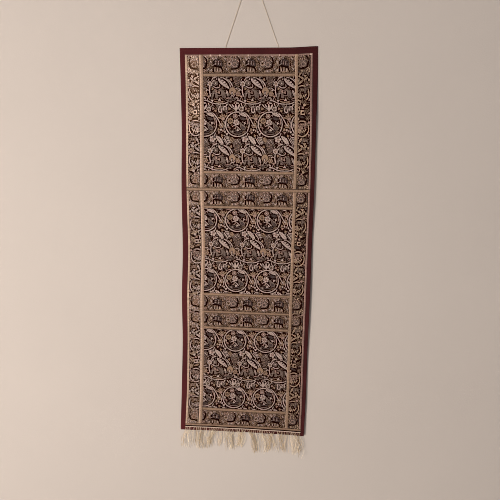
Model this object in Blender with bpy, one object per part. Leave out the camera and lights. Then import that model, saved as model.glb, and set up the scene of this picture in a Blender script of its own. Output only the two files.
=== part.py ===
"""Brocade wall hanging: a woven panel on a plain cloth backing, with a fringe and a hanging string.

Sizes are in metres. +Z is up, the front faces -Y and the wall lies on the +Y side. The origin is
where the string rests on the nail or hook that carries the hanging. Heights on the cloth are
written as a drop, the distance below the backing's top edge.
"""
import random

import bmesh
import bpy
import numpy as np
from mathutils import Vector

# Clearance between two pieces that touch on the real hanging
GAP = 0.0003

# Backing: plain cloth with folded edges, 380 mm wide and 1126 mm long
BACKING_TOP_Z = -0.1905
BACKING_DROP = 1.126
BACKING_THICK = 0.002
BACKING_ROUND = 0.0007

# Brocade panel: it starts below the top border and ends in a rolled hem above the backing's edge
PANEL_TOP_DROP = 0.0165
PANEL_THICK = 0.0012
PANEL_ROUND = 0.0003
HEM_DROP = 1.1095
HEM_HEIGHT = 0.008
HEM_BULGE = 0.0018
PANEL_BOTTOM_DROP = HEM_DROP + HEM_HEIGHT

# The outline, as uneven as it hangs. Each row: drop below the top edge, the backing's left and
# right edges, the panel's left and right edges, and how far the left edge, the middle and the
# right edge stand out from the wall.
SECTIONS = (
    (0.000, -0.1965, 0.1840, -0.1825, 0.1705, 0.000, 0.000, 0.000),
    (0.080, -0.1945, 0.1866, -0.1800, 0.1715, 0.001, 0.001, 0.004),
    (0.200, -0.1925, 0.1882, -0.1782, 0.1750, 0.002, 0.003, 0.006),
    (0.400, -0.1930, 0.1890, -0.1775, 0.1762, 0.003, 0.005, 0.008),
    (0.560, -0.1900, 0.1872, -0.1745, 0.1744, 0.001, 0.002, 0.006),
    (0.700, -0.1925, 0.1868, -0.1765, 0.1738, 0.003, 0.005, 0.008),
    (0.850, -0.1915, 0.1850, -0.1762, 0.1730, 0.002, 0.003, 0.006),
    (1.000, -0.1945, 0.1850, -0.1785, 0.1725, 0.003, 0.004, 0.006),
    (1.126, -0.1970, 0.1825, -0.1838, 0.1710, 0.006, 0.002, 0.008),
)
DROP, CLOTH_LEFT, CLOTH_RIGHT, PANEL_LEFT, PANEL_RIGHT, OUT_LEFT, OUT_MIDDLE, OUT_RIGHT = range(8)

# The top of the cloth lies flat on the wall down to the first drop and is free from the second
FLAT_DROP = 0.055
FREE_DROP = 0.180

# The top right corner is pulled up a little
CORNER_LIFT = 0.003
CORNER_REACH = 0.080

# Grid of the sheets, and the angle in radians from which an edge is shaded sharp
ROW_PITCH = 0.036
PANEL_COLUMNS = 10
SHARP_ANGLE = 0.7

# Fringe: a narrow heading under the hem, with cut yarns in uneven tufts. The yarns of a tuft lie in
# two layers, one a little in front of the other. Each tuft row: place and width of its roots,
# place and width of its tips, and the length of its yarns.
HEADING_HEIGHT = 0.0026
HEADING_THICK = 0.0014
HEADING_ROUND = 0.0002
HEADING_DROP = PANEL_BOTTOM_DROP + GAP
YARN_R = 0.00055
YARN_PITCH = 0.0023
YARN_SIDES = 3
YARN_SEED = 7
YARN_APART = 0.0009
LENGTH_SPREAD = 0.004
TUFTS = (
    (-0.1770, 0.013, -0.1925, 0.013, 0.070),
    (-0.1610, 0.019, -0.1705, 0.014, 0.066),
    (-0.1390, 0.025, -0.1310, 0.018, 0.069),
    (-0.1130, 0.027, -0.1100, 0.017, 0.063),
    (-0.0915, 0.016, -0.0805, 0.010, 0.059),
    (-0.0700, 0.027, -0.0560, 0.020, 0.068),
    (-0.0460, 0.021, -0.0330, 0.014, 0.066),
    (-0.0260, 0.019, -0.0175, 0.012, 0.062),
    (-0.0065, 0.020, 0.0000, 0.020, 0.054),
    (0.0135, 0.020, 0.0290, 0.014, 0.074),
    (0.0340, 0.021, 0.0480, 0.014, 0.066),
    (0.0555, 0.022, 0.0690, 0.016, 0.067),
    (0.0775, 0.022, 0.0880, 0.016, 0.068),
    (0.0995, 0.022, 0.1130, 0.015, 0.068),
    (0.1215, 0.022, 0.1340, 0.016, 0.066),
    (0.1420, 0.019, 0.1540, 0.013, 0.066),
    (0.1600, 0.017, 0.1755, 0.014, 0.078),
)

# String: its route runs from the left root in the top fold, over the nail, to the right root.
# The points keep to the string's centre line and are joined by one smooth curve.
CORD_D = 0.002
CORD_STEPS = 3
CORD_ROUTE = (
    (-0.06860, 0.0, -0.19020),
    (-0.05893, 0.0, -0.16160),
    (-0.04926, 0.0, -0.13300),
    (-0.03958, 0.0, -0.10440),
    (-0.02991, 0.0, -0.07580),
    (-0.02024, 0.0, -0.04720),
    (-0.01199, 0.0, -0.02280),
    (-0.00827, 0.0, -0.01180),
    (-0.00640, 0.0, -0.00627),
    (-0.00521, 0.0, -0.00274),
    (-0.00300, 0.0, 0.00011),
    (0.00000, 0.0, 0.00100),
    (0.00300, 0.0, 0.00011),
    (0.00513, 0.0, -0.00252),
    (0.00646, 0.0, -0.00597),
    (0.00840, 0.0, -0.01100),
    (0.01295, 0.0, -0.02280),
    (0.02236, 0.0, -0.04720),
    (0.03339, 0.0, -0.07580),
    (0.04442, 0.0, -0.10440),
    (0.05545, 0.0, -0.13300),
    (0.06647, 0.0, -0.16160),
    (0.07750, 0.0, -0.19020),
)


def clear_scene():
    for thing in list(bpy.data.objects):
        bpy.data.objects.remove(thing, do_unlink=True)


def smooth_step(low, high, at):
    share = min(1.0, max(0.0, (at - low) / (high - low)))
    return share * share * (3 - 2 * share)


def read_section(column, drop):
    """One column of the outline's table at any drop, on a smooth curve through its rows."""
    places = np.array([row[DROP] for row in SECTIONS])
    values = np.array([row[column] for row in SECTIONS])
    slopes = np.gradient(values, places)
    low = int(np.clip(np.searchsorted(places, drop) - 1, 0, len(places) - 2))
    span = places[low + 1] - places[low]
    t = (drop - places[low]) / span
    start = values[low] * (1 + 2 * t) + slopes[low] * span * t
    end = values[low + 1] * (3 - 2 * t) - slopes[low + 1] * span * (1 - t)
    return float(start * (1 - t) ** 2 + end * t ** 2)


def stand_out(x, drop):
    """How far the cloth's back stands out from the wall."""
    left = read_section(CLOTH_LEFT, drop)
    right = read_section(CLOTH_RIGHT, drop)
    across = (x - left) / (right - left)
    out = (read_section(OUT_LEFT, drop) * (1 - across) * (1 - 2 * across)
           + read_section(OUT_MIDDLE, drop) * 4 * across * (1 - across)
           + read_section(OUT_RIGHT, drop) * across * (2 * across - 1))
    return max(0.0, out) * smooth_step(FLAT_DROP, FREE_DROP, drop)


def cloth_point(x, drop, forward):
    """A point at a drop, at a distance in front of the backing's middle plane."""
    right = read_section(CLOTH_RIGHT, drop)
    lift = CORNER_LIFT * smooth_step(right - CORNER_REACH, right, x)
    lift *= 1 - smooth_step(0.0, FREE_DROP, drop)
    return Vector((x, -forward - stand_out(min(x, right), drop), BACKING_TOP_Z - drop + lift))


def panel_x(share, drop):
    """A place across the panel, from 0 at its left edge to 1 at its right edge."""
    left = read_section(PANEL_LEFT, drop)
    return left + share * (read_section(PANEL_RIGHT, drop) - left)


def panel_columns(drop):
    return [panel_x(column / PANEL_COLUMNS, drop) for column in range(PANEL_COLUMNS + 1)]


def backing_columns(drop):
    return [read_section(CLOTH_LEFT, drop)] + panel_columns(drop) + [read_section(CLOTH_RIGHT, drop)]


def even_rows(start, end):
    """Drops from start to end, about one row pitch apart."""
    count = round((end - start) / ROW_PITCH)
    return [start + (end - start) * row / count for row in range(count + 1)]


def hem_rows():
    """Drops across the rolled hem, with the roll's height in front of the panel at each."""
    shares = (0.0, 0.12, 0.32, 0.5, 0.68, 0.88, 1.0)
    return [(HEM_DROP + share * HEM_HEIGHT, HEM_BULGE * (1 - (2 * share - 1) ** 2) ** 0.5)
            for share in shares]


def closed_sheet(name, columns_at, rows, back, front_at, rounding):
    """A thin closed solid on a grid: its rim is a ridge, and both faces stop short of it.

    columns_at gives the x places of a row, back is the back face's distance in front of the
    backing's middle plane, and front_at gives the front face's distance at a row number.
    """
    mesh = bmesh.new()
    last_row = len(rows) - 1
    layers = {"front": [], "back": []}
    ridge = []
    for row, drop in enumerate(rows):
        columns = columns_at(drop)
        last_column = len(columns) - 1
        middle = (back + front_at(row)) / 2
        for side, forward in (("front", front_at(row)), ("back", back)):
            line = []
            for column, x in enumerate(columns):
                inward = rounding * ((column == 0) - (column == last_column))
                downward = rounding * ((row == 0) - (row == last_row))
                line.append(mesh.verts.new(cloth_point(x + inward, drop + downward, forward)))
            layers[side].append(line)
        ridge.append([mesh.verts.new(cloth_point(x, drop, middle))
                      if row in (0, last_row) or column in (0, last_column) else None
                      for column, x in enumerate(columns)])
    for grid in layers.values():
        for row in range(last_row):
            for column in range(last_column):
                mesh.faces.new((grid[row][column], grid[row][column + 1],
                                grid[row + 1][column + 1], grid[row + 1][column]))
    border = ([(0, column) for column in range(last_column)]
              + [(row, last_column) for row in range(last_row)]
              + [(last_row, column) for column in range(last_column, 0, -1)]
              + [(row, 0) for row in range(last_row, 0, -1)])
    for place, following in zip(border, border[1:] + border[:1]):
        (row, column), (next_row, next_column) = place, following
        for grid in layers.values():
            mesh.faces.new((grid[row][column], grid[next_row][next_column],
                            ridge[next_row][next_column], ridge[row][column]))
    bmesh.ops.recalc_face_normals(mesh, faces=mesh.faces)
    return finish_object(name, mesh)


def finish_object(name, mesh):
    data = bpy.data.meshes.new(name)
    mesh.to_mesh(data)
    mesh.free()
    data.shade_smooth()
    data.set_sharp_from_angle(angle=SHARP_ANGLE)
    thing = bpy.data.objects.new(name, data)
    bpy.context.scene.collection.objects.link(thing)
    return thing


def make_backing():
    rows = [0.0] + even_rows(PANEL_TOP_DROP, HEM_DROP) + [PANEL_BOTTOM_DROP, BACKING_DROP]
    return closed_sheet("backing", backing_columns, rows, -BACKING_THICK / 2,
                        lambda row: BACKING_THICK / 2, BACKING_ROUND)


def make_brocade():
    flat_rows = even_rows(PANEL_TOP_DROP, HEM_DROP)
    hem = hem_rows()[1:]
    rows = flat_rows + [drop for drop, bulge in hem]
    bulges = [0.0] * len(flat_rows) + [bulge for drop, bulge in hem]
    back = BACKING_THICK / 2 + GAP
    return closed_sheet("brocade", panel_columns, rows, back,
                        lambda row: back + PANEL_THICK + bulges[row], PANEL_ROUND)


def make_heading():
    back = BACKING_THICK / 2 + GAP
    rows = [HEADING_DROP, HEADING_DROP + HEADING_HEIGHT]
    return closed_sheet("fringe", panel_columns, rows, back,
                        lambda row: back + HEADING_THICK, HEADING_ROUND)


def add_yarn(mesh, points):
    """A closed three-sided yarn along its points."""
    rings = []
    for point in points:
        ring = []
        for side in range(YARN_SIDES):
            turn = 2 * np.pi * side / YARN_SIDES
            around = Vector((np.sin(turn), np.cos(turn), 0.0)) * YARN_R
            ring.append(mesh.verts.new(point + around))
        rings.append(ring)
    for ring, following in zip(rings, rings[1:]):
        for side in range(YARN_SIDES):
            other = (side + 1) % YARN_SIDES
            mesh.faces.new((ring[side], ring[other], following[other], following[side]))
    mesh.faces.new(rings[0])
    mesh.faces.new(rings[-1][::-1])


def yarn_points(root_x, tip_x, length, layer):
    """A yarn from inside the heading, down over the backing's edge and freely to its tip."""
    root_drop = HEADING_DROP + HEADING_HEIGHT / 2
    start = BACKING_THICK / 2 + GAP + HEADING_THICK / 2
    # Each row: share of the length, share of the way from root to tip across, move out of line
    course = ((0.0, 0.0, 0.0), (0.17, 0.16, 0.0), (0.40, 0.55, 0.6), (0.70, 0.85, 1.0), (1.0, 1.0, 0.7))
    points = []
    for down, across, apart in course:
        x = root_x + across * (tip_x - root_x)
        points.append(cloth_point(x, min(root_drop + down * length, BACKING_DROP), start + layer * apart))
        points[-1].z = BACKING_TOP_Z - root_drop - down * length
    return points


def make_fringe():
    heading = make_heading()
    rng = random.Random(YARN_SEED)
    mesh = bmesh.new()
    for root_at, root_width, tip_at, tip_width, length in TUFTS:
        count = round(root_width / YARN_PITCH)
        for yarn in range(count):
            share = (yarn + 0.5) / count - 0.5
            layer = YARN_APART if yarn % 2 else -YARN_APART
            ragged = length + LENGTH_SPREAD * rng.uniform(-1, 1)
            add_yarn(mesh, yarn_points(root_at + share * root_width, tip_at + share * tip_width,
                                       ragged, layer))
    bmesh.ops.recalc_face_normals(mesh, faces=mesh.faces)
    yarns = finish_object("yarns", mesh)
    union = heading.modifiers.new("yarns", "BOOLEAN")
    union.operation = "UNION"
    union.object = yarns
    yarns.hide_render = True
    yarns.display_type = "WIRE"
    return heading


def curve_points(route, steps):
    """Points on the smooth curve through a route, a number of steps for each stretch."""
    knots = [Vector(point) for point in route]
    knots = [knots[0] * 2 - knots[1]] + knots + [knots[-1] * 2 - knots[-2]]
    points = []
    for before, start, end, after in zip(knots, knots[1:], knots[2:], knots[3:]):
        for step in range(steps):
            t = step / steps
            points.append(0.5 * (2 * start + (end - before) * t
                                 + (2 * before - 5 * start + 4 * end - after) * t ** 2
                                 + (3 * start - before - 3 * end + after) * t ** 3))
    return points + [knots[-2]]


def make_cord():
    curve = bpy.data.curves.new("hanging_cord", "CURVE")
    curve.dimensions = "3D"
    curve.bevel_depth = CORD_D / 2
    curve.bevel_resolution = 2
    curve.use_fill_caps = True
    points = curve_points(CORD_ROUTE, CORD_STEPS)
    spline = curve.splines.new("POLY")
    spline.points.add(len(points) - 1)
    for target, point in zip(spline.points, points):
        target.co = (*point, 1.0)
    cord = bpy.data.objects.new("hanging_cord", curve)
    bpy.context.scene.collection.objects.link(cord)
    return cord


def paint(thing, name, color, roughness):
    material = bpy.data.materials.new(name)
    material.use_nodes = True
    shader = material.node_tree.nodes["Principled BSDF"]
    shader.inputs["Base Color"].default_value = (*color, 1.0)
    shader.inputs["Roughness"].default_value = roughness
    shader.inputs["Metallic"].default_value = 0.0
    thing.data.materials.append(material)


def main():
    clear_scene()
    paint(make_backing(), "maroon_cloth", (0.075, 0.014, 0.024), 0.9)
    paint(make_brocade(), "woven_brocade", (0.22, 0.16, 0.11), 0.6)
    paint(make_fringe(), "cream_yarn", (0.68, 0.59, 0.43), 0.85)
    paint(make_cord(), "cream_string", (0.62, 0.54, 0.42), 0.85)


main()
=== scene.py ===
"""Scene of the brocade wall hanging: cloth, woven figure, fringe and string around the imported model.

Sizes are in metres, except in the charts of the woven figure and where a comment says millimetres.
A drop is the distance below the cloth's top edge. The front faces -Y.
"""
import math
import random

import bpy
import numpy as np
from mathutils import Matrix, Vector


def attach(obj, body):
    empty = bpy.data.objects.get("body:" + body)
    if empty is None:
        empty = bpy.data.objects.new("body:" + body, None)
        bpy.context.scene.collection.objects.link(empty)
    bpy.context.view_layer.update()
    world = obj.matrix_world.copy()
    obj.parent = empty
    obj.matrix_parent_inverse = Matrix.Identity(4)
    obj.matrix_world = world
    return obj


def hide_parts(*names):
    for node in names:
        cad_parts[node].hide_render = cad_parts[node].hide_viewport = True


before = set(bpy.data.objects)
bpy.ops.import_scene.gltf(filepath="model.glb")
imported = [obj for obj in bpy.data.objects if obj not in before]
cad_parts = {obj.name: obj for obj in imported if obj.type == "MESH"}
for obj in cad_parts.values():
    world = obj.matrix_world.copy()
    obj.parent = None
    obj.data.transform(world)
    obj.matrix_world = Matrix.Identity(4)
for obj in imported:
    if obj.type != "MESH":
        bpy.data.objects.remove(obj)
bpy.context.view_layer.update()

BODY = "root"

# Camera: place, pitch, yaw and roll in degrees, and focal length on a 36 mm sensor
CAMERA_AT = (0.1154, -1.3748, -0.5564)
CAMERA_TURN = (-8.0, 4.45, 0.94)
CAMERA_LENS, SENSOR = 34.56, 36.0

# Height of the cloth's top edge
TOP_Z = -0.1905
# Faces of the two cloths, as distances in front of the lining's middle plane
LINING_FACE, BROCADE_BACK, BROCADE_FACE = 0.001, 0.0013, 0.0025
# Drops of the panel's upper edge, the top of its hem, its lower edge and the lining's lower edge
PANEL_TOP, HEM_TOP, PANEL_BOTTOM, LINING_BOTTOM = 0.0185, 1.1085, 1.1117, 1.1225
HEM_BULGE = 0.0018

# The outline in millimetres, as uneven as it hangs. Each row: drop, the lining's left and right edges,
# the panel's left and right edges, and how far the left edge, the middle and the right edge stand out.
SECTIONS = np.array((
    (0, -196.5, 184.0, -182.1, 170.5, 0, 0, 0),
    (80, -194.0, 186.5, -179.4, 172.0, 1, 1, 3),
    (200, -191.0, 186.6, -177.5, 175.0, 2, 3, 4),
    (400, -191.6, 187.2, -176.3, 176.0, 3, 5, 6),
    (560, -189.0, 185.9, -172.2, 174.5, 1, 2, 4),
    (700, -191.5, 185.5, -174.7, 173.7, 3, 5, 6),
    (850, -190.1, 183.8, -174.4, 172.7, 2, 3, 4),
    (1000, -193.3, 183.5, -176.6, 172.3, 3, 4, 4),
    (1126, -196.4, 181.0, -181.8, 170.8, 6, 2, 6),
)) / 1000
DROP, CLOTH_LEFT, CLOTH_RIGHT, PANEL_LEFT, PANEL_RIGHT, OUT_LEFT, OUT_MIDDLE, OUT_RIGHT = range(8)
# The cloth lies flat down to the first of these drops and hangs free from the second on
FLAT_DROP, FREE_DROP = 0.055, 0.180
# How much higher the top right corner sits, and how far from that edge the rise begins
CORNER_LIFT, CORNER_REACH = 0.003, 0.080
RIPPLE = 0.0005

# The string's route, across and up, from its left root in the top fold over its bend to its right root
CORD_ROUTE = [(x, 0.0, z) for x, z in (
    (-0.0686, -0.1902), (-0.05893, -0.1616), (-0.04926, -0.133), (-0.03958, -0.1044), (-0.02991, -0.0758),
    (-0.02024, -0.0472), (-0.01199, -0.0228), (-0.00827, -0.0118), (-0.0064, -0.00627), (-0.00521, -0.00274),
    (-0.003, 0.00011), (0, 0.001), (0.003, 0.00011), (0.00513, -0.00252), (0.00646, -0.00597),
    (0.0084, -0.011), (0.01295, -0.0228), (0.02236, -0.0472), (0.03339, -0.0758), (0.04442, -0.1044),
    (0.05545, -0.133), (0.06647, -0.1616), (0.0775, -0.1902),
)]
# Radius of a ply, its distance from the string's middle, length of one turn, and step between its rings
PLY_R, PLY_OFF, PLY_PITCH, PLY_STEP = 0.00052, 0.00046, 0.0062, 0.0007

# Fringe in millimetres. Each tuft: place and width of its roots, place and width of its tips, length.
TUFTS = (
    (-171, 20, -179, 34, 68), (-150, 14, -157, 12, 60), (-131, 36, -129, 28, 67), (-105, 14, -101, 12, 60),
    (-88, 16, -109, 10, 66), (-74, 16, -75, 18, 62), (-47, 38, -44, 36, 68), (-17, 22, -15, 22, 58),
    (1, 14, -12, 10, 56), (21, 30, 33, 18, 74), (50, 26, 68, 26, 68), (71, 14, 89, 10, 64),
    (89, 14, 77, 10, 60), (115, 32, 118, 22, 66), (147, 34, 153, 32, 70), (166, 9, 176, 8, 80),
)
# Width that a yarn and a bundle take, rings along and sides around a yarn, how far roots and tips stray,
# height and period of a yarn's crimp and of its wave, its radius, and the share of each of three tones
YARN_GAP, BUNDLE_GAP = 0.0015, 0.0056
YARN_STEPS, YARN_SIDES = 22, 5
ROOT_STRAY, TIP_STRAY = 0.0005, 0.0046
CRIMP, CRIMP_PERIOD = (0.0002, 0.0008), (0.009, 0.014)
WAVE, WAVE_PERIOD = (0.0006, 0.0026), (0.028, 0.055)
YARN_R, TONE_SHARES = (0.00026, 0.00045), (0.52, 0.28, 0.20)

# Yarns of the brocade. Each: its colour, and how metallic it is. The first stands for bare ground.
BARE, CREAM, GOLD, GREY, OLIVE, ROSE, SLATE, STRIPE, SHEEN, BRIGHT, TAN = range(11)
YARNS = (
    ((20, 8, 6), 0.0), ((192, 171, 165), 0.30), ((159, 130, 108), 0.30), ((118, 100, 93), 0.10),
    ((106, 82, 64), 0.10), ((165, 133, 123), 0.30), ((56, 44, 48), 0.05), ((183, 156, 134), 0.45),
    ((210, 181, 160), 0.40), ((235, 207, 191), 0.10), ((142, 110, 86), 0.20),
)
# What each of the first seven yarns is swapped for: in the top of the left side border, in the
# rest of it, and in the right side border. The brighter swaps on the left are painted sheen,
# brightest at the top, and the duller swaps on the right are painted shade.
LEFT_TOP_PAINTED_SHEEN = np.array((BARE, BRIGHT, SHEEN, TAN, STRIPE, CREAM, OLIVE), np.int8)
LEFT_PAINTED_SHEEN = np.array((BARE, CREAM, STRIPE, TAN, GOLD, ROSE, OLIVE), np.int8)
RIGHT_PAINTED_SHADE = np.array((BARE, STRIPE, OLIVE, GREY, SLATE, ROSE, SLATE), np.int8)
FRINGE_YARNS = ((242, 224, 198), (208, 184, 152), (164, 142, 112))

# A chart's cell, across and up, and a distance beyond anything that is drawn on a chart
CELL = (0.25, 0.4)
FAR = 1e3


def smooth(points, closed=False, steps=5):
    """A Catmull-Rom curve through the points."""
    knots = np.array(points, float)
    if closed:
        knots = np.vstack([knots[-1:], knots, knots[:2]])
    else:
        knots = np.vstack([2 * knots[:1] - knots[1:2], knots, 2 * knots[-1:] - knots[-2:-1]])
    out = []
    for a, b, c, d in zip(knots, knots[1:], knots[2:], knots[3:]):
        for t in np.arange(steps) / steps:
            bend = 2 * a - 5 * b + 4 * c - d
            out.append(0.5 * (2 * b + (c - a) * t + bend * t ** 2 + (3 * b - a - 3 * c + d) * t ** 3))
    if not closed:
        out.append(knots[-2])
    return np.array(out)


class Chart:
    """A weaver's chart: the yarn that shows at each place of one repeat, in millimetres."""

    def __init__(self, width, height, repeats=(True, True), ground=BARE):
        self.size, self.repeats = (width, height), repeats
        self.cells = (round(width / CELL[0]), round(height / CELL[1]))
        self.step = (width / self.cells[0], height / self.cells[1])
        self.yarn = np.full(self.cells[::-1], ground, np.int8)

    def pen(self, x, y, turn=0.0, size=1.0, flip=False, reach=30.0):
        return Pen(self, (x, y), turn, size, flip, reach)

    def window(self, axis, middle, reach):
        """The cells within reach of the middle along one axis, and how far off each lies."""
        step, count = self.step[axis], self.cells[axis]
        first, last = math.floor((middle - reach) / step), math.ceil((middle + reach) / step)
        if self.repeats[axis]:
            extra = max(0, last - first - count)
            first, last = first + extra // 2, last - (extra + 1) // 2
        else:
            first, last = max(first, 0), min(last, count)
        cells = np.arange(first, last)
        return cells % count, (cells + 0.5) * step - middle


class Pen:
    """Draws on a chart around one place, in its own turned and scaled millimetres u and v."""

    def __init__(self, chart, place, turn, size, flip, reach):
        self.chart, self.place, self.size = chart, place, size
        columns, dx = chart.window(0, place[0], reach)
        rows, dy = chart.window(1, place[1], reach)
        self.spots = np.ix_(rows, columns)
        dx, dy = np.meshgrid(dx, dy)
        c, s = math.cos(math.radians(turn)), math.sin(math.radians(turn))
        self.u = (c * dx + s * dy) / size * (-1 if flip else 1)
        self.v = (c * dy - s * dx) / size

    def at(self, x, y, *turned, **reach):
        """Another pen, placed from this one in the chart's own directions."""
        return self.chart.pen(self.place[0] + x, self.place[1] + y, *turned, **reach)

    def fill(self, distance, yarn, gap=1.5):
        """Puts yarn where the distance is below zero, with bare ground of that gap round it."""
        block = self.chart.yarn[self.spots]
        block[distance * self.size < gap] = BARE
        block[distance < 0] = yarn
        self.chart.yarn[self.spots] = block

    def disc(self, x, y, r):
        return np.hypot(self.u - x, self.v - y) - r

    def oval(self, x, y, rx, ry):
        return np.hypot((self.u - x) / rx, (self.v - y) / ry) - 1

    def along(self, a, b):
        """How far along the straight line from a to b each cell lies, and how far off it."""
        d = b - a
        t = np.clip(((self.u - a[0]) * d[0] + (self.v - a[1]) * d[1]) / max(d @ d, 1e-9), 0, 1)
        return t, np.hypot(self.u - a[0] - t * d[0], self.v - a[1] - t * d[1])

    def stroke(self, points, wide, thin, yarn, gap=1.4):
        """A smooth line that goes from wide to thin."""
        path = smooth(points) if len(points) > 2 else np.array(points, float)
        widths = np.linspace(wide, thin, len(path)) / 2
        nearest = np.full(self.u.shape, FAR)
        for a, b, wa, wb in zip(path, path[1:], widths, widths[1:]):
            t, off = self.along(a, b)
            nearest = np.minimum(nearest, off - wa - t * (wb - wa))
        self.fill(nearest, yarn, gap)

    def shape(self, points):
        """The signed distance to a closed smooth outline."""
        path = smooth(points, closed=True)
        nearest = np.full(self.u.shape, FAR)
        inside = np.zeros(self.u.shape, bool)
        for a, b in zip(path, np.roll(path, -1, 0)):
            nearest = np.minimum(nearest, self.along(a, b)[1])
            if a[1] != b[1]:
                slope = (b[0] - a[0]) / (b[1] - a[1])
                crosses = (a[1] > self.v) != (b[1] > self.v)
                inside ^= crosses & (self.u < slope * (self.v - a[1]) + a[0])
        return np.where(inside, -nearest, nearest)

    def blot(self, points, yarn, gap=1.5):
        self.fill(self.shape(points), yarn, gap)

    def circle(self, x, y, r, yarn, wide=0.8):
        self.fill(abs(self.disc(x, y, r)) - wide / 2, yarn, 0)

    def dots(self, places, r, yarn, gap=0.0):
        for x, y in places:
            self.fill(self.disc(x, y, r), yarn, gap)


def around(r, angle, x=0, y=0):
    """The place at that angle on a circle round a place."""
    return x + r * math.cos(angle), y + r * math.sin(angle)


def scaled(outline, size):
    return [(size * x, size * y) for x, y in outline]


def rosette(pen, r, petals, yarn, heart):
    """A flower of separate round petals."""
    step = math.pi / petals
    for k in range(petals):
        pen.dots([around(0.64 * r, 2 * k * step)], 0.7 * r * math.sin(step), yarn, 0.6)
    pen.dots([(0, 0)], 0.3 * r, heart, 0.7)


def leaf(pen, length, width, yarn, bend=0.0, teeth=0):
    """A leaf from the pen's place along u, with a bare rib."""
    t = np.clip(pen.u / length, 0, 1)
    off = abs(pen.v - bend * np.sin(np.pi * t))
    half = width / 2 * np.sin(np.pi * t ** 0.8) ** 0.8
    if teeth:
        half = half * (0.72 + 0.28 * (1 - teeth * t % 1))
    within = (pen.u > 0) & (pen.u < length)
    beyond = np.hypot(np.minimum(pen.u, 0) + np.maximum(pen.u - length, 0), off)
    pen.fill(np.where(within, off - half, beyond), yarn)
    pen.fill(np.where((t > 0.12) & (t < 0.85), off - 0.3 * (1 - t) - 0.12, 1), BARE, 0)


def toothed_leaf(pen, length, yarn):
    """A leaf under a bent stem, set off by wide bare ground that bites into its upper edge."""
    upper = ((-0.02, 0.03), (0.25, 0.17), (0.55, 0.21), (0.82, 0.14), (1, 0.02))
    lower = ((-0.04, -0.03), (0.2, -0.13), (0.5, -0.16), (0.85, -0.1))
    pen.stroke([(length * along, length * (up + 0.1)) for along, up in upper[1:]], 2.4, 2.2, yarn)
    pen.stroke(scaled(upper, length), 3.6, 3.2, BARE, 0)
    pen.stroke(scaled(lower, length), 4, 3.4, BARE, 0)
    leaf(pen, length, 0.29 * length, yarn, 0.02 * length)
    for k in range(4):
        x = (0.2 + 0.18 * k) * length
        pen.stroke([(x + 2, 0.22 * length), (x - 0.8, 0.055 * length)], 3.4, 1.8, BARE, 0)


def palmette(pen, r, petals, yarn, cup):
    for k in range(petals):
        angle = math.radians(90 + (k - (petals - 1) / 2) * 150 / petals)
        tip = around(r * (1.0 if k % 2 == petals // 2 % 2 else 0.8), angle)
        pen.stroke([(0, 0), (0.6 * tip[0], 0.6 * tip[1]), tip], 0.3 * r, 0.2 * r, yarn, 1)
    outline = ((-0.36, 0.1), (0, 0.3), (0.36, 0.1), (0.2, -0.22), (0, -0.34), (-0.2, -0.22))
    pen.blot(scaled(outline, r), cup, 0.6)


def berries(pen, rx, ry, yarns):
    """A cluster of berries in rows, in an oval."""
    for k, y in enumerate(np.arange(-ry, ry + 0.1, 3.0)):
        for x in np.arange(-rx + 1.7 * (k % 2), rx + 0.1, 3.4):
            if math.hypot(x / rx, y / ry) <= 1.05:
                pen.dots([(x, y)], 1.3, yarns[(k + int(x + 50)) % len(yarns)])


def buds(pen, length, yarn):
    for side in (-1, 1):
        tip = (side * 0.62 * length, length)
        pen.stroke([(0, 0), (side * 0.45 * length, 0.45 * length), tip], 1.4, 3, yarn, 0.8)
    pen.dots([(0, -0.1 * length)], 1.6, yarn, 0.8)


def sprig(pen, length, yarn, pairs):
    pen.stroke([(0, 0), (0.5 * length, 0.06 * length), (length, 0)], 1.8, 1.2, yarn, 0.8)
    for k in range(pairs):
        x = length * (0.18 + 0.72 * k / pairs)
        spread = 0.26 * length * (1 - 0.4 * k / pairs)
        for side in (-1, 1):
            pen.stroke([(x, 0), (x + 0.17 * length, side * spread)], 1.8, 3, yarn, 0.8)


BUD = (
    (34.5, 9), (40.74, 5.16), (44.1, -2.04), (40.74, -9.72), (34.5, -15), (28.26, -9.72), (24.9, -2.04),
    (28.26, 5.16),
)
CROWN = (
    (-11.2, 10), (-6, 6.8), (-3.2, 0.8), (-1.2, 10), (2, 10), (3.6, 1.2), (7.2, 6.8), (12, 8.4), (8.4, -1.2),
    (2.8, -4.8), (0, -10), (-3.2, -4.4), (-8.4, 0),
)
ELEPHANT = (
    (-9, 9), (-6, 10.5), (-3, 8.5), (3, 10), (9, 9), (12.5, 5), (13.6, -3), (12.5, -12), (7, -12), (6, -8.5),
    (2, -7.6), (-1.5, -8.2), (-1.8, -12), (-7, -12), (-7, -4), (-8.5, -1), (-9.8, -4), (-10.5, -9),
    (-12.5, -12.5), (-14.5, -11), (-13.6, -6), (-13, 0), (-12.2, 5),
)
DEER = (
    (-15, 5), (-13, 9), (-9, 9.5), (-7, 5), (-1, 4), (8, 5), (14, 3), (16, -2), (14, -6), (17, -10),
    (12, -10), (8, -6), (1, -6), (-5, -5), (-9, -2), (-12, 1),
)
LION = (
    (-12, 6), (-9, 9.5), (-4, 8.5), (0, 5.5), (7, 6), (11, 3), (11.5, -4), (13.5, -10), (9, -10),
    (6.5, -4.5), (0, -4), (-3.5, -4.5), (-4, -10), (-8.5, -10), (-8, -3), (-12, 0), (-13.5, 3),
)
BIRD = (
    (3, 3.2), (7.2, 5.4), (10.6, 4.4), (13.4, 0.6), (19.5, -3), (23.5, -8.5), (22.5, -14.5), (16.5, -15.5),
    (10.5, -12), (8, -6), (7.2, -0.5),
)


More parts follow.
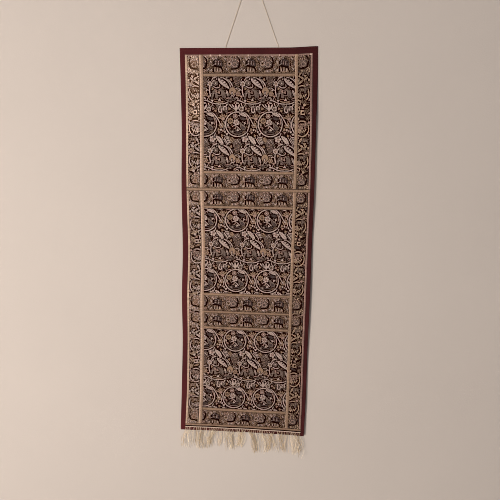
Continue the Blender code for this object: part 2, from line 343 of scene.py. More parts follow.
def elephant(pen, body, harness):
    """A long, low elephant with a mottled body, a bare block in its middle and an arched harness."""
    pen.u, pen.v = 0.84 * pen.u, 1.28 * pen.v
    edge = pen.shape(ELEPHANT)
    pen.fill(edge, body)
    pen.fill(np.where(pen.u > 5, abs(edge + 1.6) - 0.45, 1), BARE, 0)
    pen.dots([(x, y) for x in (5.8, 8.6, 11.4) for y in (-9.4, -6.2, -3, 0.2, 3.4)], 0.55, BARE)
    pen.blot([(-3, 5.8), (3, 6.2), (3.6, -4), (-2.6, -4.4)], BARE, 0)
    pen.dots([(-12, 2.6), (-9.4, 2.2), (-11.2, -1), (-5.4, -5.6), (-3.6, -8.4), (-12.6, -5)], 0.7, BARE)
    pen.stroke([(-8.6, 11), (-4, 8.2), (0.4, 9.2), (3, 12.4), (8.6, 12)], 1.5, 1.2, harness, 0.8)
    pen.blot([(-4.2, 8), (-7, 7), (-6.6, 2.5), (-3.6, 1.5)], ROSE, 0.9)
    pen.dots([(-9.6, 6)], 0.85, BARE)
    pen.stroke([(-9.2, 0.2), (-11.8, -2), (-14.8, -1.6)], 1.6, 0.8, CREAM, 0.7)
    pen.stroke([(12.6, 5.5), (15.2, 0), (14.8, -5)], 1, 1.6, body)


def band_elephant(pen, body):
    """The stout elephant of the bands: dark trunk, belly and legs under a pale lattice."""
    pen.blot([(-11, 9), (-2, 14), (9, 12), (13, 3), (10, -6), (-10, -3)], body, 1.6)
    for k in range(4):
        x = -6.6 + 4.6 * k
        pen.stroke([(x, 11 - 0.9 * k), (x + 0.6, 1.2 - 0.5 * k)], 1.9, 1.5, (CREAM, ROSE)[k % 2], 1.2)
    for path, wide, thin in (
        (((-9, 6), (0, 7.4), (10, 5.6)), 1.8, 1.8),
        (((-12.4, 9), (-13, -4), (-12.4, -18)), 4.4, 3.8),
        (((-11, -2.6), (0, -4.6), (9.6, -7)), 5.2, 5.6),
        (((8.6, -5), (11.8, -11), (14.2, -18)), 4.6, 3.8),
        (((-4, -6), (-4.6, -17.5)), 2.6, 2.4),
        (((3.4, -6), (2.8, -17.5)), 2.6, 2.4),
    ):
        pen.stroke(path, wide, thin, BARE, 0)
    for x in (-7.8, -0.6, 6.6):
        pen.stroke([(x, -11), (x, -17)], 2.2, 2.4, CREAM, 0.5)
    pen.stroke([(-9.4, 1.4), (-13, -1.2), (-18, -0.4)], 1.7, 1, CREAM, 0.8)
    pen.stroke([(13.4, 8), (17, 4), (17.2, -4)], 2, 2.6, BARE, 0)


def band_peacock(pen, body):
    """The round peacock of the bands, with a wide bare crescent under its body."""
    for k in range(11):
        angle = math.radians(10 + 19.5 * k)
        tip = around(17, angle, -1, 1)
        root = (10 * math.cos(angle) - 1, 1 + 9 * math.sin(angle))
        pen.stroke([root, tip], 1.5, 3.1, (ROSE, CREAM)[k % 2], 0.8)
        pen.dots([tip], 0.9, BARE)
    pen.fill(pen.disc(1.6, -0.6, 12.6), BARE, 0)
    pen.fill(pen.disc(0.4, 0.6, 11.2), body, 0)
    for r in (8.4, 5.4, 2.4):
        pen.circle(1.4, 0.2, r, (BARE, ROSE)[int(r) % 2], 1)
    for k in range(9):
        pen.dots([around(7, math.radians(40 * k), 1.4, 0.2)], 1.2, (CREAM, ROSE)[k % 2])
    crescent = [(9.6, 21), (14.6, 14.6), (15.4, 3), (12.4, -6.6), (5, -10.4), (-7.4, -11.4)]
    pen.stroke(crescent, 3.6, 4.6, BARE, 0)
    pen.stroke([(-9.4, -8), (-12, -11), (-9.4, -13.6)], 2, 1.2, BARE, 0)
    pen.stroke([(-17.4, 4.2), (-21.6, 2.6)], 2.4, 0.9, GOLD)
    for r, yarn, gap in ((7, CREAM, 1.2), (4.8, GOLD, 0.5), (2.3, BARE, 0)):
        pen.dots([(-13.2, 2.4)], r, yarn, gap)
    for k in range(3):
        pen.stroke([(-3.6 + 4 * k, -15.8), (-3.9 + 4 * k, -19.2)], 2.2, 2.6, CREAM, 0.9)


def beast(pen, outline, body):
    """An animal's outline filled with yarn, with a bare line kept inside its edge and two pale bars."""
    edge = pen.shape(outline)
    pen.fill(edge, body)
    pen.fill(abs(edge + 2.2) - 0.4, BARE, 0)
    for x in (-3, 4):
        pen.stroke([(x, 5), (x + 4.4, -4.6)], 1.7, 1.5, CREAM, 0.9)


def deer(pen, body):
    beast(pen, DEER, body)
    pen.dots([(-11.4, 6.6)], 0.7, BARE)
    for x, y in ((-8, 14), (-4.5, 12.5)):
        pen.stroke([(-9.5, 9), (x / 2 - 3.7, 11.5), (x, y)], 1.2, 0.8, CREAM, 0.4)
    pen.stroke([(-5.5, 2.5), (-6.2, -7), (-3.4, -11), (1, -10.6), (2, -2)], 3, 3, CREAM)
    pen.stroke([(6, -5), (6.6, 2.6), (10, 4.4), (13, 1.6), (13.4, -3)], 2.4, 2.4, CREAM, 0.8)
    pen.stroke([(15, 0), (18, 3), (17.5, 6)], 1.3, 0.9, body, 0.5)


def lion(pen, body):
    beast(pen, LION, body)
    pen.circle(-7.2, 4.2, 3.6, BARE)
    pen.dots([(-9, 5.2)], 0.7, CREAM)
    pen.stroke([(11, 2), (15.5, 5), (14, 10), (10.5, 10)], 1.3, 1, body, 0.5)


def bird(pen, body, wing):
    """A bird at the right of a roundel, its tail swept along the bottom."""
    pen.stroke([(20, -12), (18.5, -21), (8, -26), (-6, -26.5), (-17, -22), (-22, -14)], 3, 1.9, body)
    pen.stroke([(16, -13), (11, -19.5), (1, -21.5), (-8, -19), (-12, -13.5)], 2.6, 1.7, wing)
    pen.dots([(-13.5, -20.5)], 4, body, 0.9)
    pen.dots([(-13.5, -20.5)], 1.7, CREAM, 0.8)
    pen.blot(BIRD, body, 1.2)
    pen.blot([(13, -6), (18, -7.5), (21, -12), (16, -13), (12.5, -10)], wing, 0.7)
    pen.stroke([(10.4, -1), (12, -3.6), (10.8, -6)], 1, 0.8, BARE, 0)
    pen.dots([(7.6, 2.2)], 0.8, BARE)
    pen.stroke([(3.6, 3), (0.4, 1.8), (0.6, 0.2)], 1.9, 0.8, GOLD, 0.4)


def roundel(pen, x, rx, ry, lowest=-FAR):
    """An oval ring, left open below the lowest place that it reaches."""
    rim = pen.oval(x, 0, rx, ry) * (rx + ry) / 2
    pen.fill(np.maximum(abs(rim) - 1.5, lowest - pen.v), CREAM, 1.5)


def leaf_roundel(middle):
    """A broad leaf over an elephant, half framed by a thin stem."""
    pen = middle.at(0, 0, reach=45)
    roundel(pen, 3.5, 33.2, 33.4, -21)
    pen.stroke([(-47, -27), (-35, -28), (-22, -33.5), (-4, -36), (14, -34), (27, -27)], 2.4, 2.6, CREAM)
    pen.blot([(-16, 29), (-4, 35), (6, 30), (0, 22), (-10, 24)], BARE, 0)
    pen.stroke([(-24, 26), (-19, 33), (-10, 36.5)], 2.2, 3.6, CREAM)
    toothed_leaf(pen.at(-6, 31, -40, reach=50), 42, CREAM)
    rosette(pen.at(-12.5, 19), 7.6, 8, GREY, CREAM)
    pen.stroke([(-19, 11), (-13, 7.4), (-5.5, 7), (-0.5, 10.5), (-2, 15)], 2.8, 1.6, CREAM)
    elephant(pen.at(-3.4, -7.4, 0, 1.22), GREY, ROSE)
    leaf(pen.at(16.5, 1, -72), 19, 5.2, CREAM, 1)
    pen.stroke([(-16, -29), (-5, -31), (8, -30)], 2.4, 3.2, GOLD)
    rosette(pen.at(-28.5, 17, 20), 7.8, 6, CREAM, GOLD)
    pen.blot(BUD, GOLD)
    pen.stroke([(33.5, -5), (32, -13), (29, -20), (23, -26.5)], 3.2, 2.6, CREAM)
    pen.stroke([(32, -13), (38, -15), (42, -9)], 2.6, 1.6, CREAM)
    rosette(pen.at(28.5, -25, 10), 6.4, 4, GREY, SLATE)
    for side in (-1, 1):
        tip = (28.5 + 16 * side, -22)
        pen.stroke([(28.5 + 5 * side, -26), (28.5 + 10 * side, -26.5), tip], 2.8, 1.4, GREY)


def bird_roundel(pen):
    """A ring with a bird under leaves and flowers."""
    roundel(pen, 0, 33, 33)
    pen.stroke([(10, 33), (24, 28.5), (35, 16), (43, 2), (48, -8)], 3.2, 2.2, CREAM, 1.1)
    bird(pen, GREY, SLATE)
    leaf(pen.at(5, 29, -24), 25, 10, CREAM, 2, 5)
    leaf(pen.at(6, 17, -10), 21, 8.5, SLATE, -1.2, 4)
    pen.stroke([(26, 17), (29, 8), (27, -1)], 3, 1.6, ROSE)
    rosette(pen.at(-6, 21.5), 7.8, 8, ROSE, CREAM)
    rosette(pen.at(-19.5, 9), 9.2, 8, GOLD, OLIVE)
    rosette(pen.at(-3, 5, 15), 8.8, 6, CREAM, ROSE)
    pen.stroke([(8, -14.5), (0, -7), (-8, -3.5), (-14, -6)], 2.6, 1.8, CREAM, 0.9)
    leaf(pen.at(13, -24, 25), 14, 6.5, OLIVE, 1, 3)
    leaf(pen.at(-29, 3, -75), 12, 4.6, CREAM, 0.8)
    leaf(pen.at(-28, -7, -30), 11, 4.4, ROSE, 0.8)


def between_leaf_roundels(pen):
    berries(pen.at(48.5, 25, -8), 8.5, 13, (GOLD, GREY, ROSE, GREY))
    rosette(pen.at(50, -9), 7.4, 6, GOLD, ROSE)
    pen.at(49, 5.5).stroke([(-5, 0), (0, 1), (5, 0)], 2.6, 1.8, CREAM)
    for side in (-1, 1):
        leaf(pen.at(45, -18, -90 + 40 * side), 11, 4.6, CREAM, 0.8)
    pen.at(46, 41).stroke([(-6, 2), (0, -1), (6, 2)], 3, 3, CREAM)


def under_leaf_roundel(pen):
    deer(pen.at(3, -46, -6, 1.08), GREY)
    buds(pen.at(-27, -44), 9.5, CREAM)
    rosette(pen.at(-33, -50, 10), 8, 8, CREAM, OLIVE)
    pen.at(44, -47, 6).blot(CROWN, CREAM)
    for x in (27, 34):
        pen.stroke([(x, -38), (x + 5, -45)], 3.2, 2.4, CREAM)
    pen.at(24, -58).stroke([(9, 1), (0, -1), (-7, -3)], 2.6, 1.6, ROSE)


def beside_bird_roundel(middle):
    palmette(middle.at(-40, 14, 14), 15, 5, GOLD, ROSE)
    rosette(middle.at(-45, -3), 7.8, 6, GOLD, CREAM)
    pen = middle.at(-40, 0)
    pen.stroke([(2, 8), (5, 0), (2.5, -8), (4, -20)], 2.6, 1.8, CREAM)
    for k, yarn in enumerate((CREAM, ROSE, CREAM)):
        pen.fill(pen.oval(-6 + 5.6 * k, -15 - 2.6 * k, 2.3, 3.2) * 2.3, yarn)
    lion(middle.at(-46, 36, 0, 0.7, True), GREY)


def under_bird_roundel(pen):
    lion(pen.at(-4, -47, 12, 1.15), GREY)
    leaf(pen.at(31, -31, -52, reach=42), 38, 13, CREAM, 2, 6)
    rosette(pen.at(22, -40), 8.8, 5, CREAM, ROSE)
    rosette(pen.at(27, -55), 6, 5, ROSE, CREAM)
    pen.at(30, -34).stroke([(0, 10), (-3, 3), (-5, -1)], 2.6, 1.8, CREAM)
    sprig(pen.at(-36, -30, -62), 28, CREAM, 4)
    sprig(pen.at(-21, -36, -40), 16, GOLD, 3)


def trefoil(pen, yarn):
    for k in range(3):
        pen.dots([around(2.1, 2 * math.pi * k / 3)], 1.9, yarn)


def leaflet(pen, yarn):
    pen.stroke([(-3.4, -1), (0, 0.8), (3.6, -0.6)], 3.8, 1.4, yarn, 0.8)


def comma(pen, yarn):
    pen.stroke([(-1.8, -0.6), (0, 0.7), (2, -0.5)], 2.2, 1, yarn, 0)


def dot(pen, yarn):
    pen.dots([(0, 0)], 1.15, yarn)


def fill_gaps(chart, bare, *rounds):
    """Scatters small motifs wherever enough bare chart is left round them.

    Each round: the motif, how much bare chart it needs round its middle, its yarns, tries and seed.
    """
    for motif, clearance, yarns, tries, seed in rounds:
        rng = random.Random(seed)
        for _ in range(tries):
            place = (rng.uniform(0, chart.size[0]), rng.uniform(0, chart.size[1]))
            turn, yarn = rng.uniform(0, 360), rng.choice(yarns)
            pen = chart.pen(*place, turn, reach=clearance)
            near = chart.yarn[pen.spots][pen.disc(0, 0, clearance) < 0]
            if (near == bare).all():
                motif(chart.pen(*place, turn, reach=6), yarn)


def fill_gold(chart, leaflets, specks, seed):
    """Fills the gold that is left in a band, given the tries for leaflets and for smaller specks."""
    fill_gaps(chart, GOLD, (leaflet, 3.2, (CREAM, ROSE, OLIVE), leaflets, seed),
              (comma, 1.5, (BARE, OLIVE, BARE), specks, seed + 1), (dot, 1.2, (BARE,), specks, seed + 2))


# Width and height of each chart, and the middles of the two roundels in the chart of the fields
FIELD_REPEAT, BAND_REPEAT = (91.8, 179.0), (91.8, 46.0)
SIDE_REPEAT, SIDE_BAND = (32.5, 182.0), (32.5, 46.0)
LEAF_ROUNDEL, BIRD_ROUNDEL = (46.0, 136.0), (94.0, 46.0)


def field_chart():
    """One repeat of the fields: rows of leaf roundels and of bird roundels, half a repeat apart."""
    chart = Chart(*FIELD_REPEAT)
    first, second = chart.pen(*LEAF_ROUNDEL, reach=52), chart.pen(*BIRD_ROUNDEL, reach=52)
    between_leaf_roundels(first)
    beside_bird_roundel(second)
    under_leaf_roundel(first)
    under_bird_roundel(second)
    leaf_roundel(first)
    bird_roundel(second)
    fill_gaps(chart, BARE, (trefoil, 4.4, (CREAM, GOLD, ROSE), 3500, 2),
              (leaflet, 4.2, (CREAM, GOLD, CREAM, ROSE), 3500, 1),
              (comma, 3.4, (CREAM, GREY, GOLD), 3500, 3), (dot, 2.9, (GREY, OLIVE), 3500, 13))
    return chart.yarn


def band_chart():
    """One repeat of the bands: an elephant and a round peacock on gold."""
    chart = Chart(*BAND_REPEAT, repeats=(True, False), ground=GOLD)
    for x, turn in ((42, -58), (-3.5, -122)):
        for k in range(5):
            leaf(chart.pen(x + 3 * (k % 2), 42 - 9 * k, turn), 10, 3.6, (CREAM, OLIVE, ROSE)[k % 3])
    band_elephant(chart.pen(23, 22.5), SLATE)
    band_peacock(chart.pen(69, 22.5), GREY)
    rosette(chart.pen(19, 41), 4, 6, CREAM, ROSE)
    leaf(chart.pen(24, 40, 14), 11, 3.6, OLIVE)
    for k in range(12):
        chart.pen(4 + 7.65 * k, 1.6).dots([(0, 0)], 0.9, BARE)
    fill_gold(chart, 1200, 4000, 4)
    return chart.yarn


def side_chart():
    """One repeat of the side borders, from the outer edge in: small roundels and beasts in a column."""
    chart = Chart(*SIDE_REPEAT, repeats=(False, True))
    for y, body in ((136, GREY), (42, ROSE)):
        pen = chart.pen(21, y)
        roundel(pen, 0, 18.2, 21)
        lion(chart.pen(18.5, y + 9.5, 0, 0.82), body)
        for k in range(3):
            pen.stroke([(-10.5 + 6 * k, -1.5 - 2.4 * k), (-5.5 + 6 * k, -9.5 - 2 * k)], 3, 2, CREAM)
        rosette(chart.pen(29, y - 5), 6.4, 6, CREAM, ROSE)
    pen = chart.pen(19.5, 86)
    pen.fill(np.maximum(abs(pen.u), abs(pen.v)) - 6.2, CREAM, 2.4)
    pen.fill(np.maximum(abs(pen.u), abs(pen.v + 0.6)) - 2.8, BARE, 0)
    for turn, long in ((-38, 25), (-142, 25), (38, 14), (142, 14)):
        leaf(chart.pen(17, 172, turn), long, 6.4, CREAM, 1.4, 4)
    palmette(chart.pen(15, 106, 20), 12, 5, GOLD, CREAM)
    buds(chart.pen(27, 108, -20), 8, CREAM)
    sprig(chart.pen(4, 100, -62), 20, GOLD, 3)
    lion(chart.pen(14, 10.5, 0, 0.88, True), GREY)
    leaf(chart.pen(21, 17, -60), 17, 6.5, CREAM, 0, 4)
    rosette(chart.pen(6, 70), 6, 6, GOLD, ROSE)
    leaf(chart.pen(31, 77, 200), 18, 6.5, OLIVE, 0, 4)
    palmette(chart.pen(8, 159, -15), 11, 5, GOLD, ROSE)
    fill_gaps(chart, BARE, (trefoil, 4, (CREAM, GOLD, ROSE), 2000, 8),
              (leaflet, 4.2, (CREAM, GOLD, CREAM), 2000, 7), (comma, 3, (GOLD, GOLD, OLIVE), 3000, 9))
    return chart.yarn


def side_band_chart():
    """The side borders beside a band: one round peacock looking in."""
    chart = Chart(*SIDE_BAND, repeats=(False, False), ground=GOLD)
    band_peacock(chart.pen(20.5, 22.5, 0, 0.98, True), GREY)
    fill_gold(chart, 500, 1500, 10)
    return chart.yarn


def linear(red, green, blue):
    """A colour given in the photograph's 0 to 255 numbers, as Blender's shaders want it."""
    shares = np.array((red, green, blue)) / 255
    return np.where(shares > 0.04045, ((shares + 0.055) / 1.055) ** 2.4, shares / 12.92)


def opaque(red, green, blue):
    return (*linear(red, green, blue), 1.0)


def make_camera():
    pitch, yaw, roll = np.radians(CAMERA_TURN)
    ahead = Vector((-math.sin(yaw) * math.cos(pitch), math.cos(yaw) * math.cos(pitch), math.sin(pitch)))
    level = Vector((math.cos(yaw), math.sin(yaw), 0.0))
    over = level.cross(ahead)
    right = level * math.cos(roll) + over * math.sin(roll)
    up = over * math.cos(roll) - level * math.sin(roll)
    data = bpy.data.cameras.new("camera")
    data.lens, data.sensor_width = CAMERA_LENS, SENSOR
    camera = bpy.data.objects.new("camera", data)
    turn = Matrix((right, up, -ahead)).transposed()
    camera.matrix_world = Matrix.Translation(CAMERA_AT) @ turn.to_4x4()
    bpy.context.scene.collection.objects.link(camera)
    bpy.context.scene.camera = camera


def smooth_step(low, high, at):
    share = np.clip((at - low) / (high - low), 0, 1)
    return share * share * (3 - 2 * share)


def read_section(column, drop):
    """One column of the outline's table at any drops, on a smooth curve through its rows."""
    places, values = SECTIONS[:, DROP], SECTIONS[:, column]
    slopes = np.gradient(values, places)
    low = np.clip(np.searchsorted(places, drop) - 1, 0, len(places) - 2)
    span = places[low + 1] - places[low]
    t = (drop - places[low]) / span
    start = values[low] * (1 + 2 * t) + slopes[low] * span * t
    end = values[low + 1] * (3 - 2 * t) - slopes[low + 1] * span * (1 - t)
    return start * (1 - t) ** 2 + end * t ** 2


def stand_out(x, drop):
    """How far the cloth's back stands out from the wall, with a slight ripple."""
    left, right = read_section(CLOTH_LEFT, drop), read_section(CLOTH_RIGHT, drop)
    across = np.clip((x - left) / (right - left), 0, 1)
    out = (read_section(OUT_LEFT, drop) * (1 - across) * (1 - 2 * across)
           + read_section(OUT_MIDDLE, drop) * 4 * across * (1 - across)
           + read_section(OUT_RIGHT, drop) * across * (2 * across - 1))
    ripple = RIPPLE * (2 + np.sin(31 * drop + 9 * x) + np.sin(57 * x - 14 * drop + 1))
    return (np.maximum(0, out) + ripple) * smooth_step(FLAT_DROP, FREE_DROP, drop)


def cloth_points(x, drop, forward):
    """Points at drops, at distances in front of the lining's middle plane."""
    x, drop, forward = np.broadcast_arrays(x, np.asarray(drop, float), forward)
    within = np.minimum(drop, LINING_BOTTOM)
    right = read_section(CLOTH_RIGHT, within)
    lift = CORNER_LIFT * smooth_step(right - CORNER_REACH, right, x)
    lift = lift * (1 - smooth_step(0.0, FREE_DROP, within))
    return np.stack((x, -forward - stand_out(x, within), TOP_Z - drop + lift), -1)


def hem_bulge(drop):
    """How far the rolled hem stands in front of the panel's face."""
    share = np.clip((drop - HEM_TOP) / (PANEL_BOTTOM - HEM_TOP), 0, 1)
    return HEM_BULGE * np.sqrt(np.maximum(0, 1 - (2 * share - 1) ** 2))


def make_piece(name, points, faces, material, uvs=None, colors=None):
    """A piece from arrays: faces is a list of arrays of faces with the same number of corners."""
    mesh = bpy.data.meshes.new(name)
    corners = np.concatenate([group.ravel() for group in faces]).astype(np.int32)
    sizes = np.concatenate([np.full(len(group), group.shape[1]) for group in faces])
    starts = np.concatenate(([0], np.cumsum(sizes)[:-1])).astype(np.int32)
    mesh.vertices.add(len(points))
    mesh.vertices.foreach_set("co", np.asarray(points, np.float32).ravel())
    mesh.loops.add(len(corners))
    mesh.loops.foreach_set("vertex_index", corners)
    mesh.polygons.add(len(sizes))
    mesh.polygons.foreach_set("loop_start", starts)
    mesh.update(calc_edges=True)
    if uvs is not None:
        layer = mesh.uv_layers.new(name="OFBake")
        layer.data.foreach_set("uv", np.asarray(uvs, np.float32)[corners].ravel())
    if colors is not None:
        paint = mesh.color_attributes.new("yarn", "FLOAT_COLOR", "POINT")
        paint.data.foreach_set("color", np.asarray(colors, np.float32).ravel())
    mesh.shade_smooth()
    mesh.materials.append(material)
    piece = bpy.data.objects.new(name, mesh)
    bpy.context.scene.collection.objects.link(piece)
    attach(piece, BODY)
    return piece


def unit(vectors):
    return vectors / np.linalg.norm(vectors, axis=-1, keepdims=True)


def tubes(paths, radii, sides):
    """Closed round tubes along paths of equal length, with a strip of the flat map for each.

    paths is (tubes, points, 3) and radii is (tubes, points). Returns points, faces and uvs.
    """
    count, rings = paths.shape[:2]
    along = unit(np.gradient(paths, axis=1))
    first = unit(np.cross(along, (0.0, 1.0, 0.0)))
    second = np.cross(first, along)
    turn = 2 * np.pi * np.arange(sides) / sides
    outward = first[:, :, None] * np.cos(turn)[:, None] + second[:, :, None] * np.sin(turn)[:, None]
    points = paths[:, :, None] + outward * radii[:, :, None, None]
    here = np.arange(count * rings * sides).reshape(count, rings, sides)
    after = np.roll(here, -1, 2)
    walls = np.stack((here[:, :-1], here[:, 1:], after[:, 1:], after[:, :-1]), -1).reshape(-1, 4)
    caps = np.concatenate((here[:, 0], here[:, -1, ::-1]))
    tube, ring, side = np.indices(here.shape)
    uvs = np.stack(((tube + (side + 0.5) / (sides + 1)) / count, ring / (rings - 1)), -1).reshape(-1, 2)
    return points.reshape(-1, 3), [walls, caps], uvs


def make_string():
    """Three twisted plies along the string's route."""
    line = smooth(CORD_ROUTE, steps=30)
    walked = np.concatenate(([0], np.cumsum(np.linalg.norm(np.diff(line, axis=0), axis=1))))
    length = walked[-1]
    at = np.linspace(0, length, int(length / PLY_STEP))
    middle = np.stack([np.interp(at, walked, line[:, axis]) for axis in range(3)], -1)
    side = np.cross(unit(np.gradient(middle, axis=0)), (0.0, 1.0, 0.0))
    plies = []
    for ply in range(3):
        turn = 2 * np.pi * (at / PLY_PITCH + ply / 3)
        wander = PLY_OFF * (1 + 0.06 * np.sin(at * 900 + ply))
        off = side * np.cos(turn)[:, None] + np.array((0.0, 1.0, 0.0)) * np.sin(turn)[:, None]
        plies.append(middle + off * wander[:, None])
    radii = PLY_R * (1 + 0.05 * np.sin(at * 2300)) * np.ones((3, 1))
    points, faces, uvs = tubes(np.array(plies), radii, 7)
    piece = make_piece("twisted_string", points, faces, string_material(), uvs)
    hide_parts("hanging_cord")
    return piece


# A wave texture of scale 1 repeats after this many metres
WAVE_SCALE = math.pi / 10


class Nodes:
    """A material whose nodes are added one call at a time, on the piece's own coordinates."""

    def __init__(self, name, shader):
        self.material = bpy.data.materials.new(name)
        self.material.use_nodes = True
        self.tree = self.material.node_tree
        self.shader = self.tree.nodes["Principled BSDF"]
        self.place = self.add("TexCoord", {}).node.outputs["Object"]
        for socket, value in shader.items():
            self.put(self.shader.inputs[socket], value)

    def put(self, socket, value):
        if isinstance(value, bpy.types.NodeSocket):
            self.tree.links.new(value, socket)
        else:
            socket.default_value = value

    def add(self, kind, inputs, **settings):
        node = self.tree.nodes.new("ShaderNode" + kind)
        for key, value in settings.items():
            setattr(node, key, value)
        for key, value in inputs.items():
            self.put(node.inputs[key], value)
        return node.outputs[0]

    def math(self, operation, *inputs):
        return self.add("Math", dict(enumerate(inputs)), operation=operation)

    def noise(self, scale, detail=2.0):
        return self.add("TexNoise", {"Vector": self.place, "Scale": scale, "Detail": detail})

    def wave(self, period, direction, distortion):
        scale = WAVE_SCALE / period
        inputs = {"Vector": self.place, "Scale": scale, "Distortion": distortion, "Detail": 1.0}
        return self.add("TexWave", inputs, bands_direction=direction)

    def blend(self, factor, first, second, kind="MIX"):
        mix = self.add("Mix", {0: factor, 6: first, 7: second}, data_type="RGBA", blend_type=kind)
        return mix.node.outputs[2]

    def finish(self, color, height, distance):
        """Puts the colour and the relief on the shader and returns the material."""
        relief = self.add("Bump", {"Height": height, "Distance": distance, "Strength": 1.0})
        self.put(self.shader.inputs["Base Color"], color)
        self.put(self.shader.inputs["Normal"], relief)
        return self.material


def lining_material():
    """Maroon plain-weave cotton, a little faded in places, with painted light that makes it lighter towards
    its left side.
    """
    nodes = Nodes("maroon_lining", {"Roughness": 0.8, "Specular IOR Level": 0.15, "Sheen Weight": 0.06,
                                    "Sheen Roughness": 0.5, "Sheen Tint": opaque(190, 110, 110)})
    weave = nodes.math("MULTIPLY", nodes.wave(0.0009, "X", 0.5), nodes.wave(0.0009, "Z", 0.5))
    slub = nodes.noise(420.0)
    tone = nodes.math("MULTIPLY_ADD", weave, 0.25, nodes.math("MULTIPLY", nodes.noise(14.0, 4.0), slub))
    # Painted light: the cloth is lighter the further left it lies
    painted_light_left = nodes.math("MULTIPLY", nodes.add("SeparateXYZ", {0: nodes.place}), -0.8)
    color = nodes.blend(nodes.math("ADD", tone, painted_light_left), opaque(46, 11, 12), opaque(92, 33, 36))
    return nodes.finish(color, nodes.math("ADD", weave, nodes.math("MULTIPLY", slub, 0.6)), 0.00012)


# Painted sheen: the brocade's ground is browner where x is below minus the first, most of all
# where z is above minus the second
PAINTED_SHEEN_EDGE, PAINTED_SHEEN_HEIGHT = 0.1335, 0.425


def ground_material():
    """The brocade's dark silk ground, with its fine lengthwise warp and painted sheen at its left."""
    nodes = Nodes("dark_silk", {"Roughness": 0.7, "Specular IOR Level": 0.01})
    warp = nodes.wave(0.0006, "X", 0.8)
    tone = nodes.math("MULTIPLY", warp, nodes.noise(60.0, 4.0))
    dark = nodes.blend(tone, opaque(9, 1, 0), opaque(46, 10, 4))
    across = nodes.add("SeparateXYZ", {0: nodes.place})
    # Painted sheen: a browner ground near the left edge, lighter towards the top
    high = nodes.math("MULTIPLY", nodes.math("ADD", across.node.outputs[2], PAINTED_SHEEN_HEIGHT), 30.0)
    painted_sheen = nodes.blend(high, opaque(27, 11, 6), opaque(56, 33, 21))
    outer = nodes.math("MULTIPLY", nodes.math("ADD", across, PAINTED_SHEEN_EDGE), -500.0)
    return nodes.finish(nodes.blend(outer, dark, painted_sheen), warp, 0.00006)


def yarn_material(name, roughness, twist, worn):
    """Yarn that takes its own colour from the piece, with its metal share in the alpha."""
    nodes = Nodes(name, {"Roughness": roughness, "Specular IOR Level": 0.3})
    yarn = nodes.add("Attribute", {}, attribute_name="yarn").node.outputs
    nodes.put(nodes.shader.inputs["Metallic"], yarn["Alpha"])
    dust = nodes.math("MULTIPLY", nodes.noise(22.0, 3.0), worn)
    faded = nodes.blend(dust, yarn["Color"], opaque(120, 96, 80))
    tone = nodes.blend(nodes.noise(160.0, 4.0), (0.72, 0.70, 0.68, 1.0), (1.18, 1.16, 1.14, 1.0))
    color = nodes.blend(1.0, faded, tone, "MULTIPLY")
    return nodes.finish(color, nodes.wave(twist, "DIAGONAL", 1.5), 0.00007)


def string_material():
    nodes = Nodes("cotton_string", {"Roughness": 0.88, "Sheen Weight": 0.2, "Sheen Roughness": 0.5})
    # Painted shade: the string is coloured darker than its cream, so that it also stands for the dark shadow
    # line it casts on the wall
    color = nodes.blend(nodes.noise(240.0, 3.0), opaque(186, 168, 148), opaque(214, 198, 178))
    return nodes.finish(color, nodes.noise(2600.0, 3.0), 0.00012)


def plain_material(name, color):
    nodes = Nodes(name, {"Roughness": 0.9, "Specular IOR Level": 0.1})
    tone = nodes.blend(nodes.noise(3.0, 3.0), opaque(*(0.975 * np.array(color))), opaque(*color))
    return nodes.finish(tone, nodes.noise(260.0, 4.0), 0.00025)


# Panel of the brocade, across in millimetres from its left edge, and the pitch of its weft rows
PANEL_MM = 352.0
ROW_PITCH = 0.8
LEFT_BORDER, RIGHT_BORDER = (6.0, 38.0), (313.6, 345.5)
RIGHT_SELVAGE = 346.4
# Each strip down the panel: the drop in millimetres where it ends, and what it shows
STRIPS = (
    (22.3, "top"), (67.5, "band"), (77.0, "line"), (334.0, "field"), (343.4, "line"), (382.6, "band"),
    (392.2, "across"), (432.2, "band"), (441.6, "line"), (688.2, "field"), (697.8, "line"), (741.6, "band"),
    (751.0, "line"), (790.0, "band"), (799.4, "line"), (1045.5, "field"), (1056.5, "line"), (1099.5, "band"),
    (1107.0, "across"), (1108.7, "bare"), (1111.7, "hem"),
)
# Drop of a row of leaf roundels in each field, and the height of a repeat there
FIELD_ROWS = ((113.8, 182.0), (561.0, 176.0), (920.0, 178.5))
# Where a repeat begins across, in the fields and in the bands
FIELD_SHIFT, BAND_SHIFT = 51.0, 68.0
# Drop of the foot of a repeat of the side borders
SIDE_ROW = 258.5
# Lengthwise stripes: where each of their yarns begins and ends, and the bare gap beside them
STRIPES = (
    (39.8, 44.0, SHEEN), (44.0, 46.6, STRIPE), (46.6, 50.0, GOLD),
    (304.3, 307.6, STRIPE), (307.6, 312.4, GOLD),
)
STRIPE_GAP = 0.6
# The left border's brightest yarns, its strongest painted sheen, end at this drop
TOP_SHEEN_DROP = 230.0
# Painted highlights: spots of bright yarn where the creased top edge throws back the light.
# Place across, drop, and reach of each glint
PAINTED_GLINTS = (
    (3.0, 24.0, 1.6), (14.0, 28.0, 1.3), (18.6, 23.2, 2.3), (24.0, 26.5, 1.2), (32.7, 30.0, 2.1),
    (36.0, 37.5, 1.6), (71.5, 20.6, 2.6), (98.0, 20.6, 2.6), (176.0, 20.4, 2.0), (262.0, 20.4, 2.0),
    (347.0, 20.6, 2.6),
)
# A long float is bound down again and again after the first number of chart cells, at places that
# move on by the second number from row to row
FLOAT_CELLS, BINDING_STEP = 19, 7


def chart_row(chart, repeat, x, y):
    rows, columns = chart.shape
    row = chart[int(y / repeat[1] * rows) % rows]
    return row[(x / repeat[0] * columns).astype(int) % columns]


def line_yarn(share):
    """The yarn of a cross line, from its upper edge at 0 to its lower edge at 1."""
    if 0.22 < share < 0.72:
        return GOLD
    return OLIVE if 0.08 < share < 0.94 else BARE


